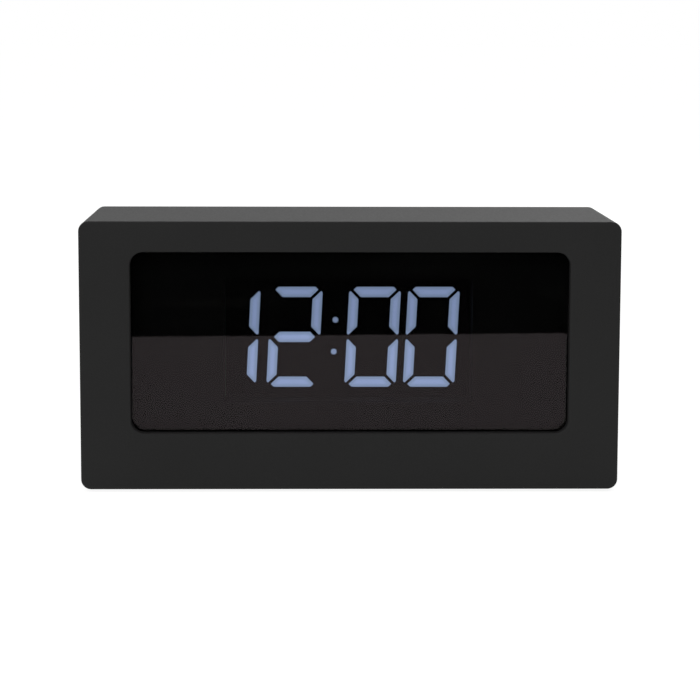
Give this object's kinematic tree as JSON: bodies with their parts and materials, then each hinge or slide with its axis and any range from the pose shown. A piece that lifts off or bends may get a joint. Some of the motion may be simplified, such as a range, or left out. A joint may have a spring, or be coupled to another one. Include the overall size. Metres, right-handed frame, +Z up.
{
  "type": "digital alarm clock",
  "caption": "Black table alarm clock: a rounded box with a recessed smoked window over glowing LED figures, and keys, a charging socket and a battery door in the back.",
  "frame": {"origin": "on the table surface, under the middle of the case", "axes": "+Z up, -Y out of the window towards the viewer, +X to the viewer's right"},
  "size_m": [0.16, 0.06, 0.0808],
  "materials": {
    "case_plastic": "finely textured black moulding",
    "cover_plastic": "finely textured black moulding",
    "inner_plastic": "plain black moulding, unseen in use",
    "smoked_window": "polished smoked acrylic",
    "adhesive": "black adhesive foam",
    "reflector_plastic": "black face",
    "lit_segments": "milky plastic lit from behind, pale blue",
    "dark_segments": "milky plastic, unlit",
    "led_chips": "yellow phosphor in white",
    "circuit_board": "green solder mask",
    "chip_plastic": "moulded epoxy",
    "capacitor_sleeve": "shrunk sleeve",
    "plated_metal": "nickel plated",
    "screw_steel": "black zinc",
    "ribbon_sleeve": "grey vinyl",
    "plug_plastic": "natural nylon",
    "button_plastic": "satin black moulding",
    "stem_plastic": "moulded nylon",
    "switch_plastic": "moulded nylon",
    "cell_jacket": "printed jacket over a steel can",
    "red_lead": "vinyl insulation",
    "black_lead": "vinyl insulation",
    "foot_rubber": "matt"
  },
  "bodies": {
    "case": {"front_housing": "case_plastic", "rubber_feet": "foot_rubber", "window_lens": "smoked_window", "window_tape": "adhesive", "display_carrier": "inner_plastic", "led_reflector": "reflector_plastic", "hour_tens_lit_bars": "lit_segments", "hour_units_lit_bars": "lit_segments", "minute_tens_lit_bars": "lit_segments", "minute_units_lit_bars": "lit_segments", "colon_dots": "lit_segments", "hour_units_dark_bars": "dark_segments", "minute_tens_dark_bars": "dark_segments", "minute_units_dark_bars": "dark_segments", "indicator_dots": "dark_segments", "segment_leds": "led_chips", "display_board": "circuit_board", "main_board": "circuit_board", "clock_chip": "chip_plastic", "capacitors": "capacitor_sleeve", "crystal_can": "plated_metal", "driver_transistors": "chip_plastic", "segment_resistors": "chip_plastic", "ribbon_cable": "ribbon_sleeve", "display_plug": "plug_plastic", "main_plug": "plug_plastic", "back_cover": "cover_plastic", "cover_screws": "screw_steel", "carrier_screws": "screw_steel", "display_board_screws": "screw_steel", "main_board_screws": "screw_steel", "key_switches": "switch_plastic", "alarm_switch_case": "plated_metal", "usb_socket_shell": "plated_metal", "usb_socket_tongue": "switch_plastic", "alarm_sounder": "switch_plastic", "battery_upper": "cell_jacket", "battery_lower": "cell_jacket", "battery_plates": "plated_metal", "battery_springs": "plated_metal", "red_battery_lead": "red_lead", "black_battery_lead": "black_lead"},
    "time_key": {"time_button": "button_plastic", "time_switch_stem": "stem_plastic"},
    "alarm_key": {"alarm_button": "button_plastic", "alarm_switch_stem": "stem_plastic"},
    "minus_key": {"minus_button": "button_plastic", "minus_switch_stem": "stem_plastic"},
    "plus_key": {"plus_button": "button_plastic", "plus_switch_stem": "stem_plastic"},
    "light_key": {"light_button": "button_plastic", "light_switch_stem": "stem_plastic"},
    "alarm_slide": {"alarm_slider": "button_plastic", "alarm_switch_lever": "stem_plastic"},
    "battery_flap": {"battery_door": "cover_plastic"}
  },
  "joints": [
    {"name": "time_press", "type": "slide", "parent": "case", "child": "time_key", "axis": [0, -1, 0], "range_m": [0, 0.0005], "stiffness_N_per_m": 900, "springref_m": -0.001},
    {"name": "alarm_press", "type": "slide", "parent": "case", "child": "alarm_key", "axis": [0, -1, 0], "range_m": [0, 0.0005], "stiffness_N_per_m": 900, "springref_m": -0.001},
    {"name": "minus_press", "type": "slide", "parent": "case", "child": "minus_key", "axis": [0, -1, 0], "range_m": [0, 0.0005], "stiffness_N_per_m": 900, "springref_m": -0.001},
    {"name": "plus_press", "type": "slide", "parent": "case", "child": "plus_key", "axis": [0, -1, 0], "range_m": [0, 0.0005], "stiffness_N_per_m": 900, "springref_m": -0.001},
    {"name": "light_press", "type": "slide", "parent": "case", "child": "light_key", "axis": [0, -1, 0], "range_m": [0, 0.0005], "stiffness_N_per_m": 900, "springref_m": -0.001},
    {"name": "alarm_on_off", "type": "slide", "parent": "case", "child": "alarm_slide", "axis": [1, 0, 0], "range_m": [0, 0.003]},
    {"name": "battery_door_hinge", "type": "hinge", "parent": "case", "child": "battery_flap", "pos_m": [-0.038, 0.027, 0.00985], "axis": [-1, 0, 0], "range_deg": [0, 90]}
  ]
}
